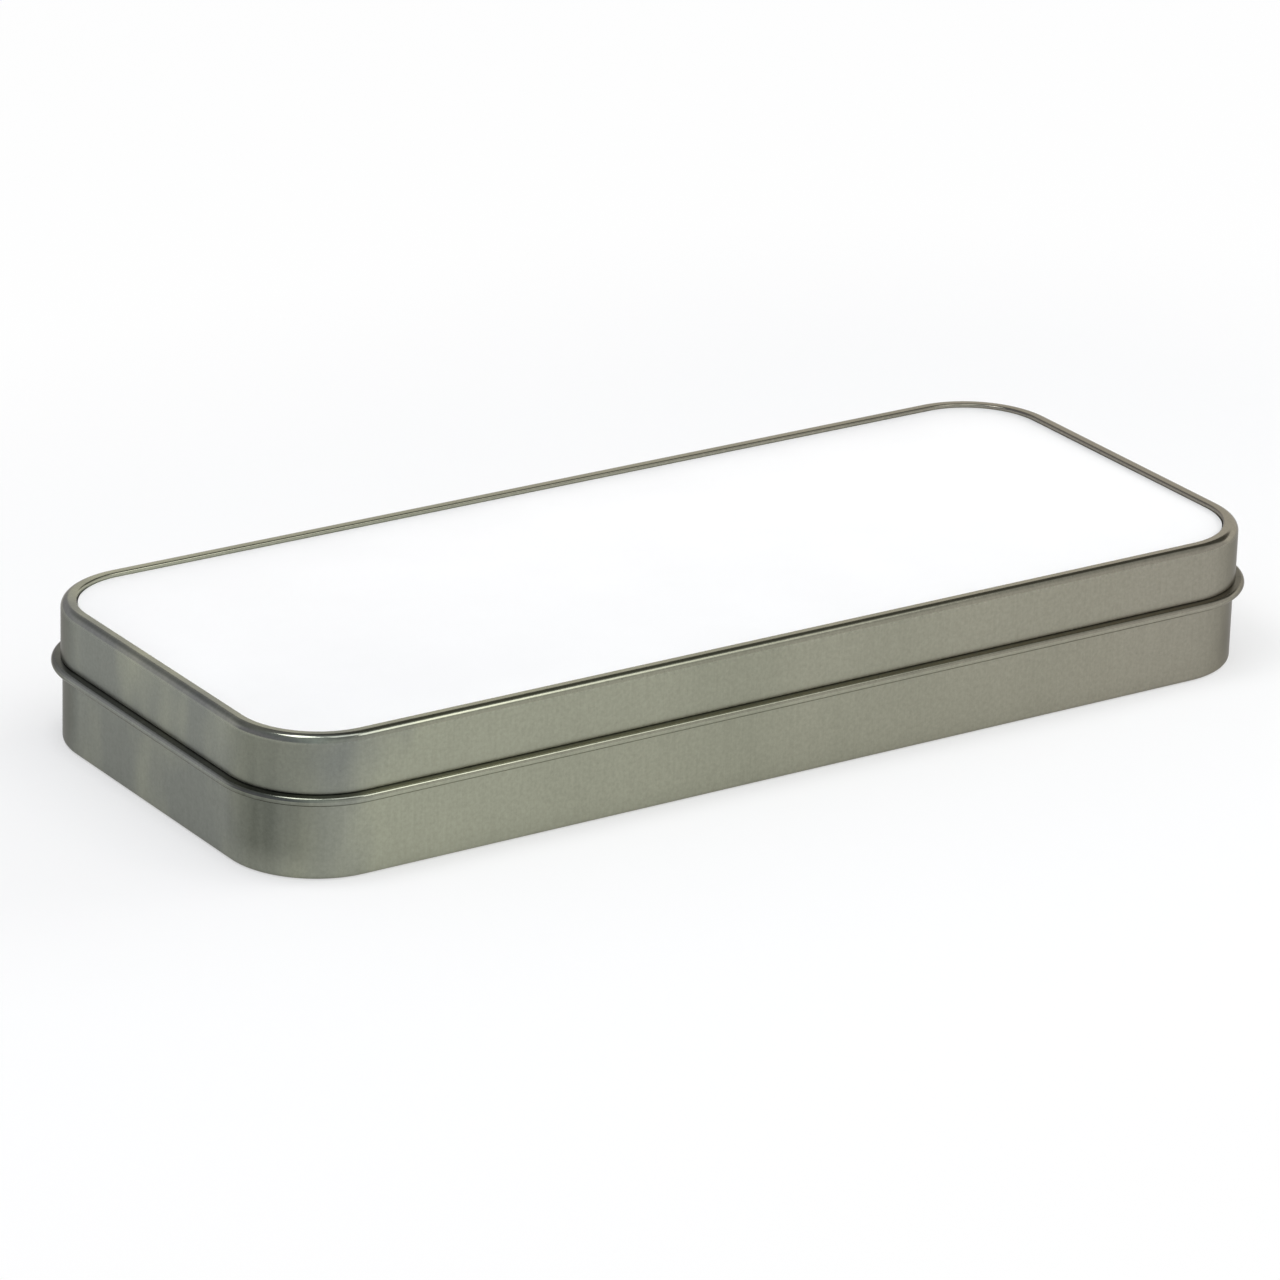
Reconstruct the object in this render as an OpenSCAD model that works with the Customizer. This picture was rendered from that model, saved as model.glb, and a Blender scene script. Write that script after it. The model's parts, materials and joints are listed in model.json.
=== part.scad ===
// Colored pencil tin: a drawn base with a rolled bead, a slip lid with a plate let into its top,
// and a formed tray that holds one layer of hexagonal pencils.
// Origin: centre of the underside. X runs along the tin, Y across it, Z up. Sizes in millimetres.

/* [Pencils] */
// Length of a pencil from its blunt end to the tip of its core
pencil_length = 175; // [120:1:180]
// Width of a casing across its flats
pencil_across = 7; // [6:0.1:9]
// Gap between one casing and the next
pencil_gap = 0.7; // [0.4:0.1:2]
// Diameter of the colored core
core_d = 3; // [2:0.1:4]
// Length of the sharpened cone
point_length = 21; // [16:1:28]
// Diameter of the blunt tip of the core
tip_d = 0.6; // [0.4:0.1:1.2]

/* [Tin] */
// Room from each end of the pencils to the outside of the tin
end_room = 12.5; // [12:0.5:30]
// Room from the outermost casings to the outside of the tin
side_room = 3.35; // [3.2:0.05:8]
// Radius of the lid's corners, seen from above
corner_r = 16.2; // [12:0.1:17]
// Thickness of the tinplate
sheet = 0.22; // [0.18:0.01:0.3]

/* [Base] */
// Radius round the bottom edge
bottom_r = 0.9; // [0.7:0.05:1.4]
// Height of the bead's centre line
bead_height = 14.15; // [12:0.05:18]
// Radius of the bead
bead_r = 0.78; // [0.77:0.01:0.84]
// Height of the ledge, on which the lid stops, above the bead's centre line
ledge_rise = 0.86; // [0.8:0.01:0.86]
// How far the ledge falls from the neck to the bead's middle
ledge_fall = 0.1; // [0.1:0.01:0.2]
// How far the bead's centre line lies outside the lid's wall
bead_reach = 0.8; // [0.75:0.01:0.9]
// Radius of the hollow where the wall runs out into the bead
bead_root_r = 0.5; // [0.3:0.05:0.8]
// Radius of the curl along the neck's top
curl_r = 0.5; // [0.4:0.05:0.7]
// Room between the neck's curl and the rim above it
neck_room = 2.3; // [0.8:0.1:4]

/* [Lid] */
// Height of the lid
lid_height = 9.9; // [8:0.1:14]
// Gap between the neck and the lid's wall
lid_clearance = 0.1; // [0.08:0.01:0.2]
// Gap between the bead's ledge and the lid's lower edge
lid_seat_gap = 0.09; // [0.02:0.01:0.1]
// Radius round the lid's top edge
top_r = 1.4; // [1:0.05:1.6]
// Width of the rim round the recess
rim_width = 2.7; // [2.6:0.1:5]
// Radius of the rim's inner edge
rim_inner_r = 0.35; // [0.3:0.05:0.5]
// Radius at the foot of the recess
recess_r = 0.25; // [0.15:0.05:0.4]

/* [Plate] */
// How far the plate's top lies below the rim
plate_depth = 0.6; // [0.3:0.05:1]
// Thickness of the plate
plate_thickness = 0.5; // [0.4:0.05:1]
// Gap between the plate and the wall of the recess
plate_gap = 0.3; // [0.3:0.05:0.6]
// Thickness of the adhesive film under the plate
adhesive_thickness = 0.1; // [0.05:0.01:0.2]
// How far the film's edge lies inside the plate's edge
adhesive_margin = 2; // [1:0.5:6]

/* [Tray] */
// Thickness of the formed sheet
tray_sheet = 0.5; // [0.4:0.05:0.8]
// Gap between the tray and the tin's wall
tray_gap = 0.7; // [0.6:0.05:1]
// Gap between the tray's foot and the floor of the tin
tray_seat_gap = 0.05; // [0.02:0.01:0.1]
// Gap between a casing and its groove
groove_gap = 0.05; // [0.02:0.01:0.1]
// Height of the free room over the pencils
top_room = 4.2; // [4.1:0.1:5]
// How far the tray's wall rises above the pencils' middle line
tray_wall_rise = 2.5; // [1:0.1:4]
// Length of the pencils that hangs over the finger well
overhang = 22; // [12:1:40]

/* [Hidden] */
// Name and color of each pencil, in the order in which they lie
PENCILS = [
    ["red", "#b8242a"],
    ["orange", "#dc6a1e"],
    ["yellow", "#e8c01e"],
    ["green", "#3f8f3a"],
    ["turquoise", "#1f9aa0"],
    ["blue", "#2450a0"],
    ["violet", "#68388c"],
    ["pink", "#d8608c"],
    ["brown", "#6e4428"],
    ["black", "#242424"]
];
$fn = 96;

TINPLATE = "#92948a";
PANEL_WHITE = "#f4f4f2";
FILM = "#d8d4c4";
TRAY_PLASTIC = "#dcdcd8";

// The casings and how they lie
pencil_count = len(PENCILS);
pencil_pitch = pencil_across + pencil_gap;
casing_r = pencil_across / 2 / cos(30);
core_clearance = 0.03;
core_r = core_d / 2;

// The sharpened cone starts a little outside the casing's edges, and the block behind it clears them
cone_margin = 0.02;
block_margin = 1;
cone_r = casing_r + cone_margin;
block_r = casing_r + block_margin;

// The tin's outside, which is the lid's wall
tin_length = pencil_length + 2 * end_room;
tin_width = pencil_count * pencil_pitch - pencil_gap + 2 * side_room;

// The base lies inside the lid by this much
base_inset = sheet + lid_clearance;
inner_inset = base_inset + sheet;

// Heights of the ledge, the lid and the neck
ledge_z = bead_height + ledge_rise;
lid_edge_z = ledge_z + lid_seat_gap;
tin_height = lid_edge_z + lid_height;
neck_top_z = tin_height - sheet - neck_room;

// The plate and its film in the recess
plate_top_z = tin_height - plate_depth;
plate_bottom_z = plate_top_z - plate_thickness;
recess_z = plate_bottom_z - adhesive_thickness;
plate_inset = rim_width + plate_gap;

// The slope of the ledge, and the hollow where the base's wall turns out into the bead
ledge_slope = atan(ledge_fall / (bead_reach + base_inset));
root_u = bead_root_r - base_inset;
root_z = bead_height - sqrt(pow(bead_r + bead_root_r, 2) - pow(bead_reach - root_u, 2));

// The pencils hang from the lid's level down, and the tray stands on the floor
pencil_z = recess_z - sheet - top_room - casing_r;
groove_z = pencil_z - casing_r - groove_gap;
ridge_z = groove_z + pencil_pitch / 2 * tan(30);
deck_drop = tray_sheet / cos(30);
tray_bottom_z = sheet + tray_seat_gap;
tray_inset = inner_inset + tray_gap;
tray_top_z = pencil_z + tray_wall_rise;
bed_end_x = pencil_length / 2 - overhang;

// Long enough to pass right through whatever is cut
through = 1;

// Block with upright rounded corners, as wide as the tin less an inset on every side
module tin_block(inset, z_low, z_high) {
    r = corner_r - inset;
    x = tin_length / 2 - corner_r;
    y = tin_width / 2 - corner_r;
    translate([-x, -y - r, z_low]) cube([2 * x, 2 * (y + r), z_high - z_low]);
    translate([-x - r, -y, z_low]) cube([2 * (x + r), 2 * y, z_high - z_low]);
    for (sx = [-1, 1], sy = [-1, 1]) {
        translate([sx * x, sy * y, z_low]) cylinder(h = z_high - z_low, r = r);
    }
}

// One straight side: the profile's x is measured outwards from the corners' centre line
module side(length, reach) {
    translate([-length / 2, reach, 0]) rotate([90, 0, 90]) linear_extrude(length) children();
}

// A profile carried all the way round the tin, with the space between the corners' centres filled to z_fill
module around(z_fill) {
    x = tin_length / 2 - corner_r;
    y = tin_width / 2 - corner_r;
    for (turn = [0, 180]) {
        rotate([0, 0, turn]) side(2 * x, y) children();
        rotate([0, 0, turn + 90]) side(2 * y, x) children();
        rotate([0, 0, turn]) translate([x, y, 0]) rotate_extrude(angle = 90) children();
        rotate([0, 0, turn]) translate([-x, y, 0]) rotate([0, 0, 90]) rotate_extrude(angle = 90) children();
    }
    translate([-x, -y, z_fill[0]]) cube([2 * x, 2 * y, z_fill[1] - z_fill[0]]);
}

// Base: the outside of its profile, or the inside when inset by the sheet
module base_outline(inset) {
    wall = corner_r - base_inset - inset;
    bead_x = corner_r + bead_reach;
    root_x = corner_r + root_u;
    translate([0, bottom_r]) square([wall, neck_top_z - curl_r - bottom_r + (inset > 0 ? through : 0)]);
    translate([0, inset]) square([corner_r - base_inset - bottom_r, bottom_r]);
    translate([corner_r - base_inset - bottom_r, bottom_r]) circle(r = bottom_r - inset);
    translate([bead_x, bead_height]) circle(r = bead_r - inset);
    polygon([
        [wall - through, bead_height],
        [bead_x, bead_height],
        [bead_x, ledge_z - ledge_fall - inset / cos(ledge_slope)],
        [corner_r - base_inset, ledge_z - inset / cos(ledge_slope)],
        [wall - through, ledge_z - inset / cos(ledge_slope)]
    ]);
    difference() {
        polygon([
            [wall - through, root_z],
            [root_x, root_z],
            [bead_x, bead_height],
            [wall - through, bead_height]
        ]);
        translate([root_x, root_z]) circle(r = bead_root_r + inset);
    }
}

module base_shell() {
    curl_x = corner_r - base_inset - curl_r;
    color(TINPLATE) around([0, sheet]) {
        difference() {
            base_outline(0);
            base_outline(sheet);
        }
        translate([curl_x, neck_top_z - curl_r]) difference() {
            circle(r = curl_r);
            circle(r = curl_r - sheet);
            translate([0, -curl_r]) square(curl_r);
        }
    }
}

// Lid: the outside of its profile, or the inside when inset by the sheet
module lid_outline(inset) {
    wall = corner_r - inset;
    rim_x = corner_r - rim_width + inset;
    top = tin_height - inset;
    low = lid_edge_z - (inset > 0 ? through : 0);
    foot = [corner_r - rim_width - recess_r, recess_z + recess_r];
    translate([0, low]) square([wall, recess_z - inset - low]);
    translate([rim_x, low]) square([rim_width - inset - top_r, tin_height - rim_inner_r - low]);
    translate([corner_r - top_r, low]) square([top_r - inset, tin_height - top_r - low]);
    translate([rim_x + rim_inner_r - inset, low]) square([rim_width - rim_inner_r - top_r, top - low]);
    translate([corner_r - top_r, tin_height - top_r]) circle(r = top_r - inset);
    translate([corner_r - rim_width + rim_inner_r, tin_height - rim_inner_r]) circle(r = rim_inner_r - inset);
    difference() {
        translate([foot[0], recess_z - inset - recess_r]) square([recess_r + inset, 2 * recess_r + inset]);
        translate(foot) circle(r = recess_r + inset);
    }
}

module lid_shell() {
    color(TINPLATE) around([recess_z - sheet, recess_z]) {
        difference() {
            lid_outline(0);
            lid_outline(sheet);
        }
    }
}

module white_panel() {
    color(PANEL_WHITE) tin_block(plate_inset, plate_bottom_z, plate_top_z);
}

module panel_adhesive() {
    color(FILM) tin_block(plate_inset + adhesive_margin, recess_z, plate_bottom_z);
}

// Top line of the grooved deck, from one wall of the tray to the other
function pencil_y(i) = (i - (pencil_count - 1) / 2) * pencil_pitch;
function deck_line(half_width, drop) = concat(
    [[-half_width, ridge_z - drop]],
    [for (i = [0 : pencil_count - 1]) each [
        [pencil_y(i) - pencil_pitch / 2, ridge_z - drop],
        [pencil_y(i), groove_z - drop]
    ]],
    [[pencil_y(pencil_count - 1) + pencil_pitch / 2, ridge_z - drop], [half_width, ridge_z - drop]]
);
function backwards(points) = [for (i = [len(points) - 1 : -1 : 0]) points[i]];

// Grooved deck, and the bulkhead that closes it towards the finger well
module tray_bed() {
    half_width = tin_width / 2 - tray_inset;
    start_x = -tin_length / 2 + tray_inset;
    upper = deck_line(half_width, 0);
    translate([start_x, 0, 0]) rotate([90, 0, 90]) linear_extrude(bed_end_x - start_x) {
        polygon(concat(upper, backwards(deck_line(half_width, deck_drop))));
    }
    translate([bed_end_x - tray_sheet, 0, 0]) rotate([90, 0, 90]) linear_extrude(tray_sheet) {
        polygon(concat(upper, [[half_width, tray_bottom_z], [-half_width, tray_bottom_z]]));
    }
}

module pencil_tray() {
    well_length = tin_length / 2 - tray_inset - bed_end_x;
    color(TRAY_PLASTIC) {
        difference() {
            tin_block(tray_inset, tray_bottom_z, tray_top_z);
            tin_block(tray_inset + tray_sheet, tray_bottom_z - through, tray_top_z + through);
        }
        intersection() {
            tin_block(tray_inset, tray_bottom_z, tray_top_z);
            union() {
                tray_bed();
                translate([bed_end_x - tray_sheet, -tin_width / 2, tray_bottom_z]) {
                    cube([well_length + tray_sheet, tin_width, tray_sheet]);
                }
            }
        }
    }
}

// A pencil's own frame: its axis is X, and its blunt end lies at x = 0
module along_x() {
    rotate([0, 90, 0]) children();
}

// The cone that a sharpener leaves, with the stretch behind it left whole
module sharpened() {
    along_x() cylinder(h = pencil_length - point_length, r = block_r);
    translate([pencil_length - point_length, 0, 0]) along_x() {
        cylinder(h = point_length, r1 = cone_r, r2 = tip_d / 2);
    }
}

module in_place(i) {
    translate([-pencil_length / 2, pencil_y(i), pencil_z]) children();
}

module pencil_casing(i) {
    color(PENCILS[i][1]) in_place(i) difference() {
        intersection() {
            along_x() cylinder(h = pencil_length, r = casing_r, $fn = 6);
            sharpened();
        }
        translate([-through, 0, 0]) along_x() {
            cylinder(h = pencil_length + 2 * through, r = core_r + core_clearance);
        }
    }
}

module pencil_core(i) {
    color(PENCILS[i][1]) in_place(i) intersection() {
        along_x() cylinder(h = pencil_length, r = core_r);
        sharpened();
    }
}

base_shell();
lid_shell();
white_panel();
panel_adhesive();
pencil_tray();
for (i = [0 : pencil_count - 1]) {
    pencil_casing(i);
    pencil_core(i);
}
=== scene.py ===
"""Colored pencil tin: satin tinplate with a rolled bead, a slip lid with a white plate,
a formed tray and ten pencils."""
import json
import math

import bmesh
import bpy
from mathutils import Matrix, Vector


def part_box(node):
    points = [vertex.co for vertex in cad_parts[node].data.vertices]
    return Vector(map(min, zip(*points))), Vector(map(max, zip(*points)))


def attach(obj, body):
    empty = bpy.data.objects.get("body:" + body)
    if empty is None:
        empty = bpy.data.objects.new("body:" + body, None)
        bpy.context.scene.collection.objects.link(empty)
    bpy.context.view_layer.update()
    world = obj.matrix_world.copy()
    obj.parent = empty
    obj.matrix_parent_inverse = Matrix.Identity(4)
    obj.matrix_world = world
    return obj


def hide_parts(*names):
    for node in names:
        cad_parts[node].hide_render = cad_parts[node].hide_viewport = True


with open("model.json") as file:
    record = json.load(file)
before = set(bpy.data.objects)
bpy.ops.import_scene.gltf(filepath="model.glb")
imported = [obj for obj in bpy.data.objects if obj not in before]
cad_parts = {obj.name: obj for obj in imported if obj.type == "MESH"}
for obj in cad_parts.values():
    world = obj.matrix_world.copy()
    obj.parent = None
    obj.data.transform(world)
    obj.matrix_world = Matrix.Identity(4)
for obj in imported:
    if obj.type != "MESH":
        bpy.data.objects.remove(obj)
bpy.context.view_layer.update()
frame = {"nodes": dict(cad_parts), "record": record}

MM = 0.001
PI = math.pi

# ---------------------------------------------------------------- sizes, in metres

LID_LOW, LID_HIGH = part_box("lid_shell")
BASE_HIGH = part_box("base_shell")[1]
PLATE_LOW, PLATE_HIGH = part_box("white_panel")
TRAY_LOW, TRAY_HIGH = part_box("pencil_tray")

HALF_LENGTH = LID_HIGH.x                 # of the lid's wall
HALF_WIDTH = LID_HIGH.y
TIN_HEIGHT = LID_HIGH.z
CORNER_R = 16.2 * MM
STRAIGHT_X = HALF_LENGTH - CORNER_R      # the corners' centres
STRAIGHT_Y = HALF_WIDTH - CORNER_R

SHEET = 0.22 * MM
BASE_INSET = 0.32 * MM
BOTTOM_R = 0.9 * MM
BEAD_R = 0.78 * MM
BEAD_REACH = BASE_HIGH.x - HALF_LENGTH - BEAD_R
BEAD_Z = 14.15 * MM
BEAD_ROOT_R = 0.5 * MM
LEDGE_Z = 15.01 * MM
CURL_R = 0.5 * MM
NECK_TOP = BASE_HIGH.z

LID_EDGE = LID_LOW.z
EDGE_LIFT = 0.03 * MM                    # the cut edge's mean height above LID_EDGE
EDGE_WAVE = 0.02 * MM
WAVE_LENGTHS = (9 * MM, 23 * MM)
DIP_DEPTH = 0.05 * MM                    # a low place in the front left corner
DIP_TURN = -2.70                         # in radians round that corner's centre, as is its width
DIP_WIDTH = 0.16
TOP_R = 1.4 * MM
RIM_WIDTH = 2.7 * MM
RIM_INNER_R = 0.35 * MM
RECESS_Z = PLATE_LOW.z - 0.1 * MM
RECESS_R = 0.25 * MM

CORNER_STEPS = 32
CORNERS = ((1, 1), (-1, 1), (-1, -1), (1, -1))      # anticlockwise, from the back right one
WELD_REACH = 0.002 * MM
LEVEL_REACH = 0.01 * MM                  # how near a point is to a height that it lies at

PLATE_CORNER_R = CORNER_R - (LID_HIGH.x - PLATE_HIGH.x)
PLATE_SPREAD = 0.17 * MM                 # the coat wraps round the cut edge
PLATE_EDGE_R = 0.12 * MM

TRAY_SHEET = 0.5 * MM
TRAY_CORNER_R = CORNER_R - (LID_HIGH.x - TRAY_HIGH.x)
TRAY_EDGE_R = 0.12 * MM
RIDGE_R = 0.7 * MM
FOLD_R = 0.8 * MM
GROOVE_GAP = 0.05 * MM

COLORS = ("red", "orange", "yellow", "green", "turquoise",
          "blue", "violet", "pink", "brown", "black")
PENCIL_LOW, PENCIL_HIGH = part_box("pencil_red_casing")
CORE_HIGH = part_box("pencil_red_core")[1]
BLUNT_X = PENCIL_LOW.x
TIP_X = CORE_HIGH.x
PENCIL_Y = (PENCIL_LOW.y + PENCIL_HIGH.y) / 2
PENCIL_Z = (PENCIL_LOW.z + PENCIL_HIGH.z) / 2
PENCIL_PITCH = 7.7 * MM
CASING_R = (PENCIL_HIGH.z - PENCIL_LOW.z) / 2
CASING_EDGE_R = 0.45 * MM
CORE_R = 1.5 * MM
BORE_R = 1.53 * MM
POINT_LENGTH = 21 * MM
CONE_R = CASING_R + 0.02 * MM
TIP_R = 0.3 * MM
TIP_ROUND = 0.12 * MM

GROOVE_Z = PENCIL_LOW.z - GROOVE_GAP
RIDGE_Z = GROOVE_Z + PENCIL_PITCH / 2 * math.tan(PI / 6)
BED_END_X = TIP_X - 22 * MM


# ---------------------------------------------------------------- modelling helpers

def only(obj):
    """Makes obj the one selected and active object."""
    bpy.ops.object.select_all(action='DESELECT')
    obj.select_set(True)
    bpy.context.view_layer.objects.active = obj


def edit():
    bpy.ops.object.mode_set(mode='EDIT')


def done():
    bpy.ops.object.mode_set(mode='OBJECT')


def pick(kind, test):
    """Selects, in edit mode, the verts, edges or faces that pass the test."""
    mesh = bmesh.from_edit_mesh(bpy.context.object.data)
    bpy.ops.mesh.select_all(action='DESELECT')
    for element in getattr(mesh, kind):
        element.select_set(bool(test(element)))
    if kind == "verts":
        mesh.select_flush(True)
    bmesh.update_edit_mesh(bpy.context.object.data)


def push(x=0.0, y=0.0, z=0.0):
    """Extrudes what is selected by that much."""
    bpy.ops.mesh.extrude_region_move(TRANSFORM_OT_translate={"value": (x, y, z)})


def trace(points, axis="x"):
    """Draws a line on from the selected vertex: each point is a place along the axis and a height."""
    for (place0, z0), (place1, z1) in zip(points, points[1:]):
        push(**{axis: place1 - place0}, z=z1 - z0)


def weld():
    bpy.ops.mesh.select_all(action='SELECT')
    bpy.ops.mesh.remove_doubles(threshold=WELD_REACH)


def face_outwards():
    bpy.ops.mesh.select_all(action='SELECT')
    bpy.ops.mesh.normals_make_consistent(inside=False)


def apply_all(obj):
    """Applies every modifier of obj, in order."""
    only(obj)
    for modifier in list(obj.modifiers):
        bpy.ops.object.modifier_apply(modifier=modifier.name)


def thicken(obj, thickness):
    """Makes the surface a sheet of that thickness, inwards from where it is."""
    sheet = obj.modifiers.new("sheet", 'SOLIDIFY')
    sheet.thickness = thickness
    sheet.offset = -1
    sheet.use_even_offset = True
    apply_all(obj)


def smooth(obj, angle=35):
    only(obj)
    bpy.ops.object.shade_smooth_by_angle(angle=math.radians(angle))


def arc(centre, radius, start, end, steps):
    """Points along an arc, without its first one. Angles in degrees, from +u towards +z."""
    points = []
    for i in range(1, steps + 1):
        angle = math.radians(start + (end - start) * i / steps)
        points.append((centre[0] + radius * math.cos(angle), centre[1] + radius * math.sin(angle)))
    return points


def lone_vertex(name, place):
    """A new object, still in edit mode, with one vertex at that place."""
    bpy.ops.object.select_all(action='DESELECT')
    bpy.ops.mesh.primitive_plane_add(size=MM, location=place)
    obj = bpy.context.object
    obj.name = obj.data.name = name
    bpy.ops.object.transform_apply(location=True, rotation=True, scale=True)
    edit()
    bpy.ops.mesh.select_all(action='SELECT')
    bpy.ops.mesh.merge(type='CENTER')
    return obj


def swept_sheet(name, profile, floor_z):
    """Sheet metal round a flat floor; the profile's points are (outwards from the lid's wall, up)."""
    start_u, start_z = profile[0]
    obj = lone_vertex(name, (HALF_LENGTH + start_u, -STRAIGHT_Y, start_z))
    trace(profile)
    bpy.ops.mesh.select_all(action='SELECT')
    for (last_x, last_y), (next_x, next_y) in zip(CORNERS[-1:] + CORNERS, CORNERS):
        push(x=(next_x - last_x) * STRAIGHT_X, y=(next_y - last_y) * STRAIGHT_Y)
        centre = (next_x * STRAIGHT_X, next_y * STRAIGHT_Y, 0)
        bpy.ops.mesh.spin(steps=CORNER_STEPS, angle=-PI / 2, center=centre, axis=(0, 0, 1))
    weld()
    close_floor(floor_z)
    face_outwards()
    done()
    thicken(obj, SHEET)
    return obj


def close_floor(z):
    """Fills the ring of open edges that lies at height z."""
    def on_rim(edge):
        return edge.is_boundary and max(abs(end.co.z - z) for end in edge.verts) < LEVEL_REACH

    pick("edges", on_rim)
    bpy.ops.mesh.edge_face_add()


# ---------------------------------------------------------------- pieces of tinplate

def base_profile():
    """The base's outer surface, from the floor's edge up to the curl."""
    crest = (BEAD_REACH, BEAD_Z)
    root_u = BEAD_ROOT_R - BASE_INSET
    span = BEAD_R + BEAD_ROOT_R
    root = (root_u, BEAD_Z - math.sqrt(span ** 2 - (BEAD_REACH - root_u) ** 2))
    lean = math.degrees(math.atan2(crest[1] - root[1], crest[0] - root[0]))
    ledge_run, ledge_rise = BEAD_REACH + BASE_INSET, LEDGE_Z - BEAD_Z
    ledge_fall = math.atan2(ledge_rise, ledge_run)
    ledge_fall -= math.asin(BEAD_R / math.hypot(ledge_run, ledge_rise))
    ledge_angle = 90 - math.degrees(ledge_fall)
    curl = (-BASE_INSET - CURL_R, NECK_TOP - CURL_R)
    points = [(-BASE_INSET - BOTTOM_R, 0.0)]
    points += arc((-BASE_INSET - BOTTOM_R, BOTTOM_R), BOTTOM_R, -90, 0, 10)
    points += [(-BASE_INSET, root[1])]
    points += arc(root, BEAD_ROOT_R, 180, lean, 8)
    points += arc(crest, BEAD_R, 180 + lean, 360 + ledge_angle, 26)
    points += [(-BASE_INSET, LEDGE_Z), (-BASE_INSET, curl[1])]
    points += arc(curl, CURL_R, 0, 270, 16)
    return points


def lid_profile():
    """The lid's outer surface, from its lower edge up, over the rim and down into the recess."""
    points = [(0.0, LID_EDGE), (0.0, TIN_HEIGHT - TOP_R)]
    points += arc((-TOP_R, TIN_HEIGHT - TOP_R), TOP_R, 0, 90, 14)
    points += [(-RIM_WIDTH + RIM_INNER_R, TIN_HEIGHT)]
    points += arc((-RIM_WIDTH + RIM_INNER_R, TIN_HEIGHT - RIM_INNER_R), RIM_INNER_R, 90, 180, 8)
    points += [(-RIM_WIDTH, RECESS_Z + RECESS_R)]
    points += arc((-RIM_WIDTH - RECESS_R, RECESS_Z + RECESS_R), RECESS_R, 0, -90, 5)
    return points


def base_shell():
    obj = swept_sheet("drawn_base", base_profile(), 0.0)
    smooth(obj)
    return obj


def edge_rise(x, y):
    """How much the lid's cut edge, which runs a little unevenly, lies above its nominal height."""
    # 1 along the front wall, and from there down to 0 about half-way round its corners
    front = min(1.0, max(0.0, (-y - STRAIGHT_Y) / CORNER_R * 2.2 - 1.2))
    turn = math.atan2(y + STRAIGHT_Y, x + STRAIGHT_X)
    short, long = WAVE_LENGTHS
    wave = EDGE_WAVE * (math.sin(x / short) + math.sin(x / long + 1.3))
    dip = DIP_DEPTH * math.exp(-((turn - DIP_TURN) / DIP_WIDTH) ** 2)
    return 0.02 * MM * front + (wave + EDGE_LIFT) * (1 - 0.4 * front) - dip


def lid_shell():
    obj = swept_sheet("slip_lid", lid_profile(), RECESS_Z)
    only(obj)
    edit()
    mesh = bmesh.from_edit_mesh(obj.data)
    for vertex in mesh.verts:
        if vertex.co.z < LID_EDGE + 0.5 * MM:
            vertex.co.z += edge_rise(vertex.co.x, vertex.co.y)
    bmesh.update_edit_mesh(obj.data)
    done()
    smooth(obj)
    return obj


def rounded_block(name, low, high, radius):
    """A block between two corners, whose upright edges are rounded; it is left in edit mode."""
    bpy.ops.object.select_all(action='DESELECT')
    middle = (low + high) / 2
    bpy.ops.mesh.primitive_plane_add(size=1, location=(middle.x, middle.y, low.z))
    obj = bpy.context.object
    obj.name = obj.data.name = name
    obj.scale = (high.x - low.x, high.y - low.y, 1)
    bpy.ops.object.transform_apply(location=True, rotation=True, scale=True)
    edit()
    bpy.ops.mesh.select_all(action='SELECT')
    bpy.ops.mesh.bevel(offset=radius, segments=CORNER_STEPS, affect='VERTICES')
    bpy.ops.mesh.select_all(action='SELECT')
    push(z=high.z - low.z)
    face_outwards()
    return obj


def join_solid(obj, other, operation):
    """Works another solid into obj, and removes it."""
    only(obj)
    modifier = obj.modifiers.new("worked", 'BOOLEAN')
    modifier.operation = operation
    modifier.solver = 'EXACT'
    modifier.object = other
    apply_all(obj)
    bpy.data.objects.remove(other, do_unlink=True)


# ---------------------------------------------------------------- the plate on the lid

def coated_plate():
    """A thin stamped plate that follows the recess, with its upper edge just broken."""
    spread = Vector((PLATE_SPREAD, PLATE_SPREAD, 0))
    radius = PLATE_CORNER_R + PLATE_SPREAD
    obj = rounded_block("coated_plate", PLATE_LOW - spread, PLATE_HIGH + spread, radius)
    pick("verts", lambda vertex: vertex.co.z > PLATE_HIGH.z - LEVEL_REACH)
    bpy.ops.mesh.bevel(offset=PLATE_EDGE_R, segments=3, affect='EDGES')
    done()
    smooth(obj, 30)
    return obj


# ---------------------------------------------------------------- the formed tray

def tray_wall():
    obj = rounded_block("formed_tray", TRAY_LOW, TRAY_HIGH, TRAY_CORNER_R)
    pick("faces", lambda face: abs(face.normal.z) > 0.5)
    bpy.ops.mesh.delete(type='ONLY_FACE')
    done()
    thicken(obj, TRAY_SHEET)
    return obj


def deck_line():
    """The deck across the tray (across, up): a groove for each pencil between two flat margins."""
    slope = 30
    corner = RIDGE_R * math.tan(math.radians(slope / 2))
    rise = RIDGE_Z - GROOVE_Z
    left = PENCIL_Y - PENCIL_PITCH / 2
    right = left + PENCIL_PITCH * len(COLORS)
    top = RIDGE_R / math.cos(math.radians(slope))
    points = [(TRAY_LOW.y - MM, RIDGE_Z), (left - corner, RIDGE_Z)]
    points += arc((left - corner, RIDGE_Z - RIDGE_R), RIDGE_R, 90, 90 - slope, 4)
    for place in range(len(COLORS)):
        y = left + PENCIL_PITCH * place
        points += [(y + PENCIL_PITCH / 2, RIDGE_Z - rise)]
        if place < len(COLORS) - 1:
            points += arc((y + PENCIL_PITCH, RIDGE_Z - top), RIDGE_R, 90 + slope, 90 - slope, 6)
    points += arc((right + corner, RIDGE_Z - RIDGE_R), RIDGE_R, 90 + slope, 90, 4)
    return points + [(TRAY_HIGH.y + MM, RIDGE_Z)]


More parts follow.
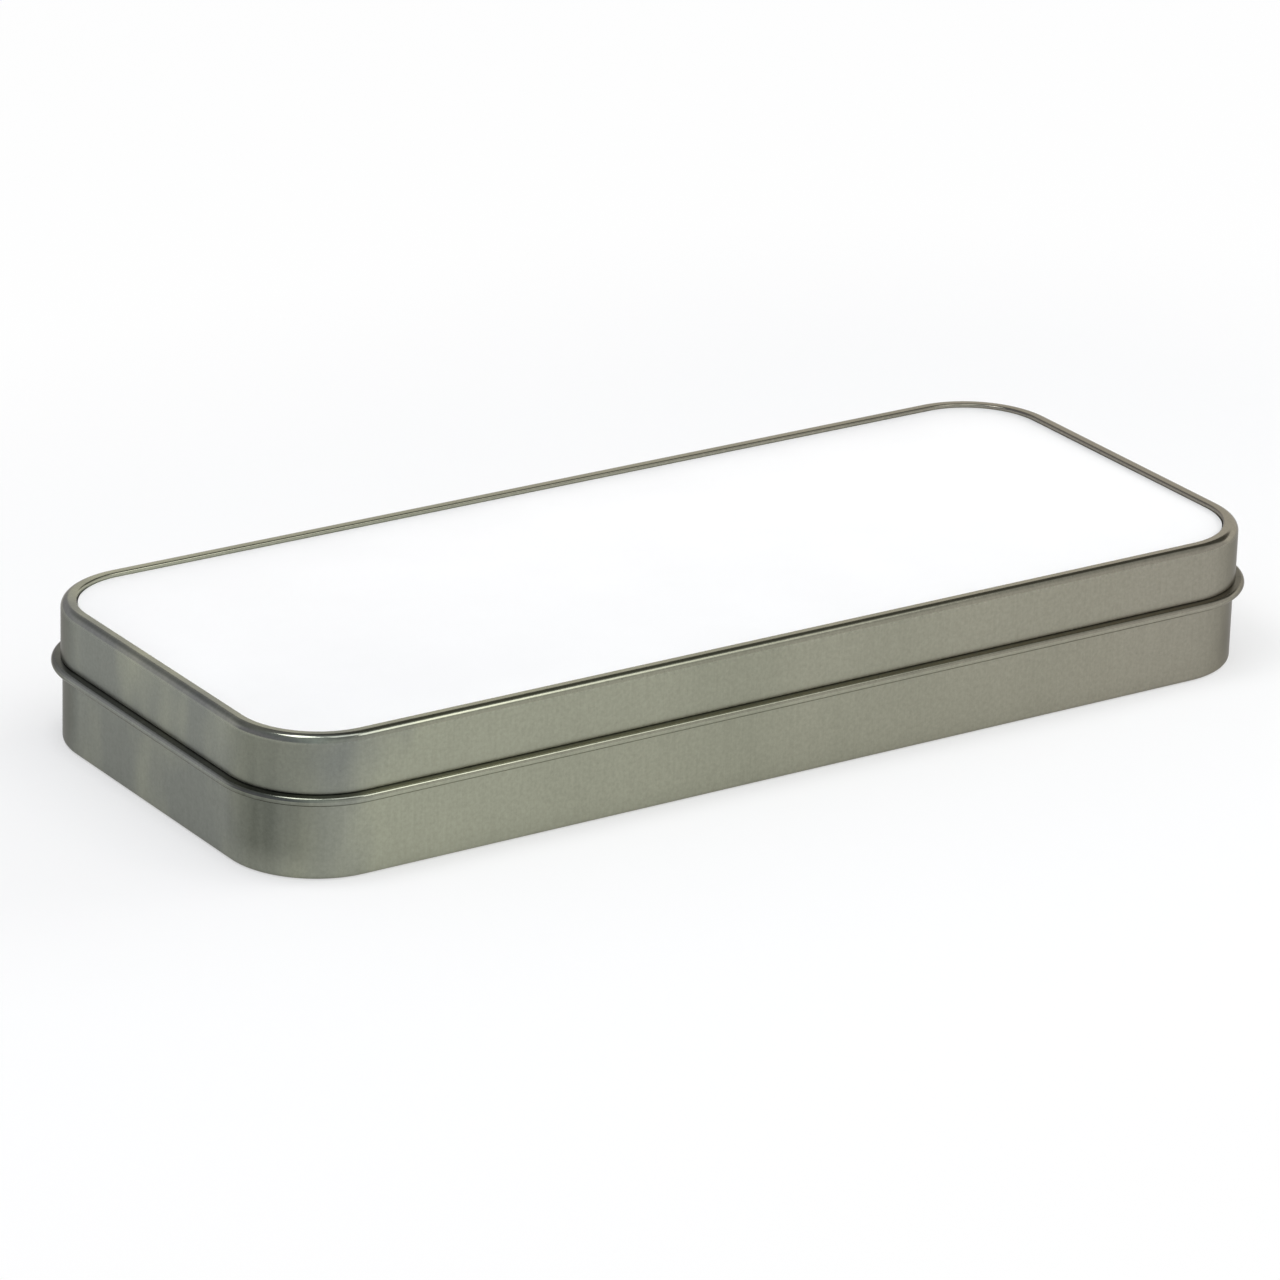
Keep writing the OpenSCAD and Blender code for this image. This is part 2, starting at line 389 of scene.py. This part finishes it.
def tray_deck():
    """One formed sheet: grooves for the pencils, a step down, and the floor of the finger well."""
    start_x, end_x = TRAY_LOW.x - MM, TRAY_HIGH.x + MM
    floor_z = TRAY_LOW.z + TRAY_SHEET
    points = deck_line()
    obj = lone_vertex("tray_deck", (start_x, *points[0]))
    trace(points, "y")
    bpy.ops.mesh.select_all(action='SELECT')
    push(x=BED_END_X - start_x)
    push(z=floor_z + FOLD_R - RIDGE_Z)
    bpy.ops.transform.resize(value=(1, 1, 0), center_override=(0, 0, floor_z + FOLD_R))
    foot = [(0.0, 0.0)] + arc((FOLD_R, 0.0), FOLD_R, 180, 270, 6)
    trace(foot)
    push(x=end_x - BED_END_X - FOLD_R)
    face_outwards()
    mesh = bmesh.from_edit_mesh(obj.data)
    if sum(face.normal.z * face.calc_area() for face in mesh.faces) < 0:
        bpy.ops.mesh.flip_normals()
    done()
    thicken(obj, TRAY_SHEET)
    return obj


def formed_tray():
    inset = Vector((TRAY_SHEET / 2, TRAY_SHEET / 2, 0))
    within = rounded_block("within", TRAY_LOW + inset, TRAY_HIGH - inset, TRAY_CORNER_R - inset.x)
    done()
    deck = tray_deck()
    join_solid(deck, within, 'INTERSECT')
    obj = tray_wall()
    join_solid(obj, deck, 'UNION')
    edit()
    weld()
    done()
    worn = obj.modifiers.new("broken_edges", 'BEVEL')
    worn.width = TRAY_EDGE_R
    worn.segments = 2
    worn.limit_method = 'ANGLE'
    worn.angle_limit = math.radians(50)
    apply_all(obj)
    smooth(obj, 40)
    return obj


# ---------------------------------------------------------------- pencils

def cone_radius(x):
    """The sharpened cone's radius at that place along the pencil."""
    return TIP_R + (TIP_X - x) / POINT_LENGTH * (CONE_R - TIP_R)


def turned(name, profile, steps):
    """A solid turned round the pencil's axis from points (along, outwards); it is left in edit mode."""
    along, outwards = profile[0]
    obj = lone_vertex(name, (along, PENCIL_Y, PENCIL_Z + outwards))
    trace(profile)
    bpy.ops.mesh.select_all(action='SELECT')
    bpy.ops.mesh.spin(steps=steps, angle=2 * PI, center=(0, PENCIL_Y, PENCIL_Z), axis=(1, 0, 0))
    weld()
    bpy.ops.mesh.normals_make_consistent(inside=False)
    return obj


def casing(paint, wood):
    """A six-sided painted casing, bored for its core and sharpened, with bare wood where it is cut."""
    bpy.ops.object.select_all(action='DESELECT')
    end = (BLUNT_X, PENCIL_Y, PENCIL_Z)
    bpy.ops.mesh.primitive_circle_add(vertices=6, radius=CASING_R, fill_type='NGON', location=end,
                                      rotation=(0, PI / 2, 0))
    obj = bpy.context.object
    bpy.ops.object.transform_apply(location=True, rotation=True, scale=True)
    edit()
    bpy.ops.mesh.select_all(action='SELECT')
    bpy.ops.transform.rotate(value=PI / 6, orient_axis='X', center_override=end)
    push(x=TIP_X - BLUNT_X)
    pick("edges", lambda edge: abs(edge.verts[0].co.x - edge.verts[1].co.x) > POINT_LENGTH)
    bpy.ops.mesh.bevel(offset=CASING_EDGE_R, segments=5, affect='EDGES')
    face_outwards()
    done()
    cut_x = TIP_X - POINT_LENGTH
    bore_end_x = TIP_X - (BORE_R - TIP_R) / (CONE_R - TIP_R) * POINT_LENGTH
    clear = CASING_R + MM
    profile = [(BLUNT_X - MM, BORE_R), (BLUNT_X - MM, clear), (cut_x, clear), (cut_x, CONE_R),
               (bore_end_x, BORE_R), (BLUNT_X - MM, BORE_R)]
    cutter = turned("cutter", profile, steps=60)
    done()
    for solid in (obj, cutter):
        solid.data.materials.clear()
        solid.data.materials.append(paint)
        solid.data.materials.append(wood)
    for face in cutter.data.polygons:
        face.material_index = 1
    join_solid(obj, cutter, 'INTERSECT')
    for face in obj.data.polygons:
        if face.normal.x < -0.9:
            face.material_index = 1
    smooth(obj, 25)
    return obj


def core(wax):
    """A waxy core with a slightly rounded tip."""
    start_x = TIP_X - (CORE_R - TIP_R) / (CONE_R - TIP_R) * POINT_LENGTH
    round_x = TIP_X - TIP_ROUND
    profile = [(BLUNT_X, 0.0), (BLUNT_X, CORE_R), (start_x, CORE_R), (round_x, cone_radius(round_x)),
               (TIP_X, TIP_R - TIP_ROUND), (TIP_X, 0.0)]
    obj = turned("core", profile, steps=40)
    done()
    put_on(obj, wax)
    smooth(obj, 30)
    return obj


def laid_beside(source, name, places):
    """A copy with a mesh of its own, that many places farther across the tray."""
    obj = source.copy()
    obj.data = source.data.copy()
    bpy.context.scene.collection.objects.link(obj)
    obj.name = obj.data.name = name
    obj.location.y = places * PENCIL_PITCH
    only(obj)
    bpy.ops.object.transform_apply(location=True, rotation=True, scale=True)
    return obj


# ---------------------------------------------------------------- materials

def new_material(name):
    material = bpy.data.materials.new(name)
    material.use_nodes = True
    nodes = material.node_tree.nodes
    return material, nodes, material.node_tree.links, nodes["Principled BSDF"]


def math_node(nodes, links, operation, *values):
    """A Math node; each value is a number or the socket that feeds it."""
    node = nodes.new("ShaderNodeMath")
    node.operation = operation
    for socket, value in zip(node.inputs, values):
        if isinstance(value, bpy.types.NodeSocket):
            links.new(value, socket)
        else:
            socket.default_value = value
    return node.outputs["Value"]


def ramp_node(nodes, links, source, *stops):
    """A Color Ramp; each stop is a position and a colour."""
    node = nodes.new("ShaderNodeValToRGB")
    elements = node.color_ramp.elements
    while len(elements) < len(stops):
        elements.new(0.5)
    for element, (position, color) in zip(elements, stops):
        element.position = position
        element.color = (*color, 1)
    links.new(source, node.inputs["Fac"])
    return node.outputs["Color"]


def grey(value):
    return (value, value, value)


def mix_color(nodes, links, factor, first, second, blend='MIX'):
    """A colour mix; each of the three is a value or the socket that feeds it."""
    node = nodes.new("ShaderNodeMix")
    node.data_type = 'RGBA'
    node.blend_type = blend
    for socket, value in ((node.inputs[0], factor), (node.inputs[6], first), (node.inputs[7], second)):
        if isinstance(value, bpy.types.NodeSocket):
            links.new(value, socket)
        else:
            socket.default_value = value
    return node.outputs[2]


def stretched(nodes, links, scale=(1, 1, 1), turn=(0, 0, 0)):
    """Object coordinates, scaled along each axis."""
    mapping = nodes.new("ShaderNodeMapping")
    mapping.inputs["Scale"].default_value = scale
    mapping.inputs["Rotation"].default_value = turn
    links.new(nodes.new("ShaderNodeTexCoord").outputs["Object"], mapping.inputs["Vector"])
    return mapping.outputs["Vector"]


def noise_node(nodes, links, vector, scale, detail=3.0, roughness=0.5):
    node = nodes.new("ShaderNodeTexNoise")
    node.inputs["Scale"].default_value = scale
    node.inputs["Detail"].default_value = detail
    node.inputs["Roughness"].default_value = roughness
    links.new(vector, node.inputs["Vector"])
    return node.outputs["Fac"]


def bump_node(nodes, links, height, distance, normal=None):
    node = nodes.new("ShaderNodeBump")
    node.inputs["Strength"].default_value = 1.0
    node.inputs["Distance"].default_value = distance
    links.new(height, node.inputs["Height"])
    if normal:
        links.new(normal, node.inputs["Normal"])
    return node.outputs["Normal"]


def eased(nodes, links, value, start, end, low=0.0, high=1.0):
    """A smooth step from low to high while the value runs from start to end."""
    node = nodes.new("ShaderNodeMapRange")
    node.interpolation_type = 'SMOOTHSTEP'
    for name, setting in (("From Min", start), ("From Max", end), ("To Min", low), ("To Max", high)):
        node.inputs[name].default_value = setting
    links.new(value, node.inputs["Value"])
    return node.outputs["Result"]


def product(nodes, links, first, *others):
    for other in others:
        first = math_node(nodes, links, 'MULTIPLY', first, other)
    return first


def split(nodes, links, vector):
    """A vector's X, Y and Z outputs."""
    node = nodes.new("ShaderNodeSeparateXYZ")
    links.new(vector, node.inputs["Vector"])
    return node.outputs


def shaded(nodes, links, tone, pattern, low, high):
    """The tone under a pattern's greys, which run from low to high."""
    shade = ramp_node(nodes, links, pattern, (0.3, grey(low)), (0.7, grey(high)))
    return mix_color(nodes, links, 1.0, tone, shade, 'MULTIPLY')


SATIN = 0.31                             # roughness of the tinplate's walls
BURNISH = 0.19                           # how much less it is on the rolled rim and bead
WEAR = 0.14                              # how much it wanders
# where the painted shade on the corners starts, and where it has its full effect
CORNER_SHADE_X = (STRAIGHT_X + 4.7 * MM, STRAIGHT_X + 13.7 * MM)
CORNER_SHADE_Y = (STRAIGHT_Y - 0.8 * MM, STRAIGHT_Y + 4.7 * MM)
CORNER_SHADE_TONE = (0.076, 0.082, 0.066, 1)
# painted shade and painted reflection tint: the tin's colour, darker at both ends, cooler at the left
# one and warmer at the right one
TIN_TONE_AND_PAINTED_SHADE = (                            # along the tin, from its left end to its right end
    (0.0, (0.236, 0.249, 0.224)),
    (0.065, (0.356, 0.366, 0.282)),
    (0.40, (0.316, 0.320, 0.247)),
    (0.82, (0.306, 0.294, 0.234)),
    (1.0, (0.282, 0.266, 0.218)),
)


def burnish(nodes, links, grain):
    """Roughness of the tinplate: satin walls, smoother where dies rolled the rim and the bead."""
    height = split(nodes, links, stretched(nodes, links))["Z"]
    rim = eased(nodes, links, height, TIN_HEIGHT - 1.1 * TOP_R, TIN_HEIGHT - 0.5 * TOP_R)
    bead = eased(nodes, links, height, BEAD_Z - 1.1 * BEAD_R, BEAD_Z - 0.7 * BEAD_R)
    ledge = eased(nodes, links, height, BEAD_Z + 0.90 * BEAD_R, BEAD_Z + BEAD_R)
    bead = math_node(nodes, links, 'SUBTRACT', bead, ledge)
    rolled = math_node(nodes, links, 'MAXIMUM', rim, bead)
    satin = math_node(nodes, links, 'MULTIPLY_ADD', grain, WEAR, SATIN - WEAR / 2)
    return math_node(nodes, links, 'MULTIPLY_ADD', rolled, -BURNISH, satin)


def painted_corner_shade(nodes, links):
    """Painted shade on the four corners: the satin is darker there, in soft upright streaks of painted
    reflection, less at the foot and on the lid, and none on the rim.
    """
    place = split(nodes, links, stretched(nodes, links))
    height = place["Z"]
    reach = []
    for axis, (start, end) in (("X", CORNER_SHADE_X), ("Y", CORNER_SHADE_Y)):
        out = math_node(nodes, links, 'ABSOLUTE', place[axis])
        reach.append(ramp_node(nodes, links, out, (start, grey(0)), (end, grey(1))))
    upright = stretched(nodes, links, (1, 1, 0.06))
    reflection_streak = noise_node(nodes, links, upright, scale=190, detail=2.0)
    reflection_streak = ramp_node(nodes, links, reflection_streak, (0.35, grey(0.50)), (0.65, grey(0.68)))
    rim_start, rim_end = TIN_HEIGHT - 1.2 * TOP_R, TIN_HEIGHT - 0.4 * TOP_R
    below_rim = eased(nodes, links, height, rim_start, rim_end, 1.0, 0.0)
    foot = eased(nodes, links, height, 0.0, 6 * MM, 0.5, 1.35)
    lid = eased(nodes, links, height, 13 * MM, 15 * MM, 1.0, 0.75)
    return product(nodes, links, *reach, below_rim, foot, lid, reflection_streak)


def tinplate():
    """Satin tinplate: fine upright draw lines, cloudy rolling marks, and a few specks and rubs, under
    painted shade that darkens both ends and the four corners.
    """
    material, nodes, links, shader = new_material("satin_tinplate")
    shader.inputs["Metallic"].default_value = 1.0
    plain = stretched(nodes, links)
    upright = stretched(nodes, links, (1, 1, 0.018))
    lines = noise_node(nodes, links, upright, scale=3200, detail=2.0, roughness=0.7)
    grain = noise_node(nodes, links, plain, scale=1500, detail=3.0, roughness=0.7)
    rolling = stretched(nodes, links, (1, 1, 0.4))
    cloud = noise_node(nodes, links, rolling, scale=38, detail=3.0, roughness=0.55)
    dots = nodes.new("ShaderNodeTexVoronoi")
    dots.inputs["Scale"].default_value = 210
    links.new(plain, dots.inputs["Vector"])
    speck = ramp_node(nodes, links, dots.outputs["Distance"], (0.03, grey(1)), (0.055, grey(0)))
    chance = noise_node(nodes, links, plain, scale=90, detail=1.0)
    chance = math_node(nodes, links, 'GREATER_THAN', chance, 0.56)
    speck = math_node(nodes, links, 'MULTIPLY', speck, chance)
    slanting = stretched(nodes, links, (1, 1, 0.05), turn=(0.35, 0.1, 0))
    scratch = noise_node(nodes, links, slanting, scale=900, detail=1.0)
    scratch = ramp_node(nodes, links, scratch, (0.76, grey(0)), (0.80, grey(1)))
    along = split(nodes, links, plain)["X"]
    along = math_node(nodes, links, 'MULTIPLY_ADD', along, 0.5 / HALF_LENGTH, 0.35)
    along = math_node(nodes, links, 'MULTIPLY_ADD', cloud, 0.3, along)
    # painted shade along the tin: darker at both ends
    tone = ramp_node(nodes, links, along, *TIN_TONE_AND_PAINTED_SHADE)
    tone = shaded(nodes, links, tone, cloud, 0.93, 1.07)
    tone = shaded(nodes, links, tone, lines, 0.95, 1.0)
    # painted shade on the corners
    tone = mix_color(nodes, links, painted_corner_shade(nodes, links), tone, CORNER_SHADE_TONE)
    tone = shaded(nodes, links, tone, grain, 0.90, 1.08)
    tone = mix_color(nodes, links, speck, tone, (0.10, 0.10, 0.085, 1))
    faint = math_node(nodes, links, 'MULTIPLY', scratch, 0.08)
    tone = mix_color(nodes, links, faint, tone, (0.42, 0.42, 0.36, 1))
    links.new(tone, shader.inputs["Base Color"])
    links.new(burnish(nodes, links, grain), shader.inputs["Roughness"])
    shader.inputs["Specular Tint"].default_value = (0.62, 0.60, 0.58, 1)
    normal = bump_node(nodes, links, lines, 0.0025 * MM)
    normal = bump_node(nodes, links, grain, 0.003 * MM, normal=normal)
    links.new(normal, shader.inputs["Normal"])
    return material


def white_coat():
    """Smooth white coat, with the least orange peel."""
    material, nodes, links, shader = new_material("white_coat")
    plain = stretched(nodes, links)
    cloud = noise_node(nodes, links, plain, scale=60, detail=3.0)
    links.new(ramp_node(nodes, links, cloud, (0.3, (0.935, 0.935, 0.93)), (0.7, (0.96, 0.96, 0.955))),
              shader.inputs["Base Color"])
    peel = noise_node(nodes, links, plain, scale=700, detail=2.0)
    rough = ramp_node(nodes, links, peel, (0.3, grey(0.36)), (0.7, grey(0.42)))
    links.new(rough, shader.inputs["Roughness"])
    links.new(bump_node(nodes, links, peel, 0.003 * MM), shader.inputs["Normal"])
    return material


def adhesive_film():
    material, nodes, links, shader = new_material("adhesive_film")
    lengthwise = stretched(nodes, links, (0.3, 1, 1))
    fibre = noise_node(nodes, links, lengthwise, scale=1800, detail=3.0, roughness=0.6)
    links.new(ramp_node(nodes, links, fibre, (0.3, (0.62, 0.58, 0.48)), (0.7, (0.72, 0.68, 0.58))),
              shader.inputs["Base Color"])
    shader.inputs["Roughness"].default_value = 0.6
    links.new(bump_node(nodes, links, fibre, 0.01 * MM), shader.inputs["Normal"])
    return material


def tray_plastic():
    """Formed sheet: pale, satin, slightly cloudy where it was drawn thin."""
    material, nodes, links, shader = new_material("formed_sheet")
    plain = stretched(nodes, links)
    cloud = noise_node(nodes, links, plain, scale=90, detail=3.0, roughness=0.6)
    links.new(ramp_node(nodes, links, cloud, (0.3, (0.66, 0.66, 0.64)), (0.7, (0.73, 0.73, 0.71))),
              shader.inputs["Base Color"])
    grain = noise_node(nodes, links, plain, scale=2600, detail=2.0)
    rough = ramp_node(nodes, links, grain, (0.3, grey(0.38)), (0.7, grey(0.52)))
    links.new(rough, shader.inputs["Roughness"])
    links.new(bump_node(nodes, links, grain, 0.01 * MM), shader.inputs["Normal"])
    return material


def gloss_paint(name, color):
    """Thick gloss paint on the casing, with a soft unevenness along its length."""
    material, nodes, links, shader = new_material(name + "_gloss_paint")
    lengthwise = stretched(nodes, links, (0.15, 1, 1))
    flow = noise_node(nodes, links, lengthwise, scale=420, detail=2.0, roughness=0.5)
    dark = tuple(0.88 * part for part in color)
    pale = tuple(min(1.0, 1.06 * part) for part in color)
    links.new(ramp_node(nodes, links, flow, (0.3, dark), (0.7, pale)), shader.inputs["Base Color"])
    shader.inputs["Roughness"].default_value = 0.22
    shader.inputs["Coat Weight"].default_value = 0.4
    shader.inputs["Coat Roughness"].default_value = 0.08
    links.new(bump_node(nodes, links, flow, 0.012 * MM), shader.inputs["Normal"])
    return material


def bare_wood():
    """Cut wood: long grain, short dark pores, and fine rings that the sharpener leaves."""
    material, nodes, links, shader = new_material("bare_wood")
    long_grain = stretched(nodes, links, (0.06, 1, 1))
    short_grain = stretched(nodes, links, (0.12, 1, 1))
    grain = noise_node(nodes, links, long_grain, scale=2200, detail=4.0, roughness=0.65)
    pores = noise_node(nodes, links, short_grain, scale=4200, detail=1.0)
    rings = nodes.new("ShaderNodeTexWave")
    rings.bands_direction = 'X'
    rings.inputs["Scale"].default_value = 900
    rings.inputs["Distortion"].default_value = 1.2
    links.new(stretched(nodes, links), rings.inputs["Vector"])
    tone = ramp_node(nodes, links, grain, (0.25, (0.52, 0.31, 0.15)), (0.55, (0.68, 0.45, 0.25)),
                     (0.75, (0.76, 0.54, 0.33)))
    pore = ramp_node(nodes, links, pores, (0.66, grey(0)), (0.74, grey(1)))
    faint = math_node(nodes, links, 'MULTIPLY', pore, 0.6)
    tone = mix_color(nodes, links, faint, tone, (0.25, 0.13, 0.06, 1))
    links.new(tone, shader.inputs["Base Color"])
    shader.inputs["Roughness"].default_value = 0.62
    normal = bump_node(nodes, links, grain, 0.03 * MM)
    normal = bump_node(nodes, links, rings.outputs["Fac"], 0.012 * MM, normal=normal)
    links.new(normal, shader.inputs["Normal"])
    return material


def waxy_core(name, color):
    """Pigmented wax: soft sheen, with a finely broken surface."""
    material, nodes, links, shader = new_material(name + "_waxy_core")
    plain = stretched(nodes, links)
    grain = noise_node(nodes, links, plain, scale=3000, detail=3.0, roughness=0.6)
    dark = tuple(0.75 * part for part in color)
    pale = tuple(min(1.0, 1.1 * part) for part in color)
    links.new(ramp_node(nodes, links, grain, (0.3, dark), (0.7, pale)), shader.inputs["Base Color"])
    shader.inputs["Roughness"].default_value = 0.48
    links.new(bump_node(nodes, links, grain, 0.02 * MM), shader.inputs["Normal"])
    return material


def slot_color(name):
    """A slot's colour from the record, as light."""
    for entry in frame["record"]["materials"]:
        if entry["slot"] == name:
            return tuple(part ** 2.2 for part in entry["base_color"])


def put_on(obj, material):
    obj.data.materials.clear()
    obj.data.materials.append(material)


# ---------------------------------------------------------------- studio

CAMERA_AZIMUTH = math.radians(-34.364)
CAMERA_ELEVATION = math.radians(21.599)
CAMERA_ROLL = math.radians(1.8175)
CAMERA_DISTANCE = 1.2372
CAMERA_LENS = 204.30
AIM_LEFT = math.radians(0.1513)
AIM_DOWN = math.radians(0.1120)


def camera():
    """A long lens on the tin's front left corner; it aims a little beside the tin's middle."""
    a, e = CAMERA_AZIMUTH, CAMERA_ELEVATION
    back = Vector((math.sin(a) * math.cos(e), -math.cos(a) * math.cos(e), math.sin(e)))
    right = Vector((math.cos(a), math.sin(a), 0))
    axes = Matrix((right, back.cross(right), back)).transposed()
    turn = Matrix.Rotation(CAMERA_ROLL, 3, 'Z') @ Matrix.Rotation(AIM_LEFT, 3, 'Y')
    turn = turn @ Matrix.Rotation(-AIM_DOWN, 3, 'X')
    data = bpy.data.cameras.new("camera")
    data.lens = CAMERA_LENS
    data.sensor_width = 36
    data.clip_end = 50
    obj = bpy.data.objects.new("camera", data)
    bpy.context.scene.collection.objects.link(obj)
    place = Vector((0, 0, TIN_HEIGHT / 2)) + back * CAMERA_DISTANCE
    obj.matrix_world = Matrix.Translation(place) @ (axes @ turn).to_4x4()
    bpy.context.scene.camera = obj


def softbox(name, place, size, radiance, aim):
    """A rectangular lamp; its radiance doesn't change with its size."""
    data = bpy.data.lights.new(name, 'AREA')
    data.shape = 'RECTANGLE'
    data.size, data.size_y = size
    data.energy = radiance * PI * size[0] * size[1]
    obj = bpy.data.objects.new(name, data)
    bpy.context.scene.collection.objects.link(obj)
    obj.location = place
    obj.rotation_euler = (Vector(place) - Vector(aim)).to_track_quat('Z', 'Y').to_euler()
    return obj


def heading(nodes, links, parts, x, y):
    """How far a direction points towards (x, y), from 0 to 1."""
    along_y = math_node(nodes, links, 'MULTIPLY_ADD', parts["Y"], y / 2, 0.5)
    return math_node(nodes, links, 'MULTIPLY_ADD', parts["X"], x / 2, along_y)


# the room's light, each time as (how far along, colour)
LOW_WALLS = (                            # round the room, from the left to the right
    (0.10, (0.38, 0.37, 0.45)),
    (0.30, (0.35, 0.37, 0.43)),
    (0.50, (0.70, 0.75, 0.78)),
    (0.68, (0.86, 0.88, 0.86)),
    (0.95, (0.82, 0.80, 0.81)),
)
HIGH_WALLS = (                           # the same, higher up
    (0.10, (0.24, 0.24, 0.28)),
    (0.30, (0.34, 0.36, 0.40)),
    (0.50, (0.72, 0.77, 0.78)),
    (0.68, (0.46, 0.47, 0.46)),
    (0.95, (0.42, 0.41, 0.41)),
)
SWEEP = (                                # behind the table at the right, upwards
    (0.425, (1.19, 1.16, 1.13)),
    (0.445, (0.36, 0.34, 0.33)),
    (0.53, (0.15, 0.145, 0.13)),
    (0.9, (0.12, 0.12, 0.11)),
)
BACK_WALL = (                            # behind the table at the left, upwards
    (0.0, (0.75, 0.73, 0.80)),
    (0.40, (0.72, 0.70, 0.76)),
    (0.56, (0.42, 0.42, 0.45)),
    (0.66, (0.28, 0.28, 0.30)),
)


def room():
    """The world: pale walls, dimmer to the left and high up; behind the table a bright low sweep at the
    right, and a wall that dims upwards at the left."""
    world = bpy.data.worlds.new("studio_world")
    bpy.context.scene.world = world
    world.use_nodes = True
    nodes, links = world.node_tree.nodes, world.node_tree.links
    parts = split(nodes, links, nodes.new("ShaderNodeTexCoord").outputs["Generated"])
    height = parts["Z"]
    right = heading(nodes, links, parts, 0.85, -0.53)
    low = ramp_node(nodes, links, right, *LOW_WALLS)
    high = ramp_node(nodes, links, right, *HIGH_WALLS)
    lift = ramp_node(nodes, links, height, (0.45, grey(0)), (0.88, grey(1)))
    walls = mix_color(nodes, links, lift, low, high)
    sweep = ramp_node(nodes, links, height, *SWEEP)
    wall = ramp_node(nodes, links, height, *BACK_WALL)
    aside = ramp_node(nodes, links, parts["X"], (0.30, grey(0)), (0.42, grey(1)))
    back = mix_color(nodes, links, aside, wall, sweep)
    behind = heading(nodes, links, parts, 0.40, 0.92)
    behind = ramp_node(nodes, links, behind, (0.58, grey(0)), (0.68, grey(1)))
    links.new(mix_color(nodes, links, behind, walls, back), nodes["Background"].inputs["Color"])


FLOOR_SIZE = 12
SHADOW_REACH = 0.06                      # how far from the tin the paper starts to whiten
WHITE_REACH = 0.18                       # and from where it is white


def floor_paper():
    """White paper: it keeps the tin's soft shadow near the tin, and is evenly white farther out."""
    material, nodes, links, shader = new_material("floor_paper")
    shader.inputs["Base Color"].default_value = (0.95, 0.95, 0.95, 1)
    shader.inputs["Roughness"].default_value = 0.9
    shader.inputs["Specular IOR Level"].default_value = 0.0
    reach = nodes.new("ShaderNodeTexCoord").outputs["Object"]
    tin = (HALF_LENGTH, HALF_WIDTH, 0)
    steps = (('ABSOLUTE', None), ('SUBTRACT', tin), ('MAXIMUM', (0, 0, 0)), ('LENGTH', None))
    for operation, value in steps:
        node = nodes.new("ShaderNodeVectorMath")
        node.operation = operation
        links.new(reach, node.inputs[0])
        if value:
            node.inputs[1].default_value = value
        reach = node.outputs["Value" if operation == 'LENGTH' else "Vector"]
    fade = eased(nodes, links, reach, SHADOW_REACH, WHITE_REACH, 0.50, 0.95)
    path = nodes.new("ShaderNodeLightPath").outputs
    seen = math_node(nodes, links, 'MAXIMUM', path["Is Camera Ray"], path["Is Glossy Ray"])
    seen = math_node(nodes, links, 'MAXIMUM', seen, path["Is Transmission Ray"])
    glow = nodes.new("ShaderNodeEmission")
    blend = nodes.new("ShaderNodeMixShader")
    links.new(math_node(nodes, links, 'MULTIPLY', seen, fade), blend.inputs["Fac"])
    links.new(shader.outputs["BSDF"], blend.inputs[1])
    links.new(glow.outputs["Emission"], blend.inputs[2])
    links.new(blend.outputs["Shader"], nodes["Material Output"].inputs["Surface"])
    return material


STRIP_HEIGHT = 0.50
STRIPS = (                               # lamps that face straight down: place, size and radiance
    ("overhead_softbox", (-0.160, 0.005), (0.18, 0.17), 5.0),
    ("corner_strip", (0.04, -0.115), (0.19, 0.17), 1.8),
    ("front_strip", (0.19, -0.25), (0.11, 0.25), 2.4),
    ("front_strip_middle", (0.275, -0.25), (0.06, 0.25), 1.5),
    ("front_strip_end", (0.335, -0.25), (0.06, 0.25), 0.8),
)
FILLS = (                                # lamps that the metal doesn't mirror: the same, and an aim
    ("side_softbox", (1.30, -0.10, 0.36), (1.0, 0.6), 4.5, (0, 0, 0)),
    ("ceiling_softbox", (-0.45, -0.1, 0.9), (0.7, 0.7), 1.30, (-0.05, 0, 0)),
)


def studio():
    bpy.ops.object.select_all(action='DESELECT')
    bpy.ops.mesh.primitive_plane_add(size=FLOOR_SIZE, location=(0, 0, 0))
    floor = bpy.context.object
    floor.name = "floor"
    put_on(floor, floor_paper())
    room()
    for name, (x, y), size, radiance in STRIPS:
        softbox(name, (x, y, STRIP_HEIGHT), size, radiance, (x, y, 0))
    for name, place, size, radiance, aim in FILLS:
        softbox(name, place, size, radiance, aim).visible_glossy = False
    bpy.context.scene.view_settings.view_transform = 'Standard'


# ---------------------------------------------------------------- assembly

def stands_for(piece, body, node):
    """The piece rides on a body in place of a node, which it hides."""
    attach(piece, body)
    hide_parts(node)


def lay_pencils():
    wood = bare_wood()
    first_casing = casing(bpy.data.materials.new("unpainted"), wood)
    first_core = core(wood)
    for place, color in enumerate(COLORS):
        case = laid_beside(first_casing, color + "_pencil_casing", place)
        case.data.materials[0] = gloss_paint(color, slot_color(color + "_casing"))
        stands_for(case, "base", "pencil_" + color + "_casing")
        wax = laid_beside(first_core, color + "_pencil_core", place)
        wax.data.materials[0] = waxy_core(color, slot_color(color + "_core"))
        stands_for(wax, "base", "pencil_" + color + "_core")
    for spare in (first_casing, first_core):
        bpy.data.objects.remove(spare, do_unlink=True)


def assemble():
    tin = tinplate()
    base = base_shell()
    put_on(base, tin)
    stands_for(base, "base", "base_shell")
    lid = lid_shell()
    put_on(lid, tin)
    stands_for(lid, "lid", "lid_shell")
    plate = coated_plate()
    put_on(plate, white_coat())
    stands_for(plate, "lid", "white_panel")
    put_on(frame["nodes"]["panel_adhesive"], adhesive_film())
    tray = formed_tray()
    put_on(tray, tray_plastic())
    stands_for(tray, "base", "pencil_tray")
    lay_pencils()


assemble()
camera()
studio()
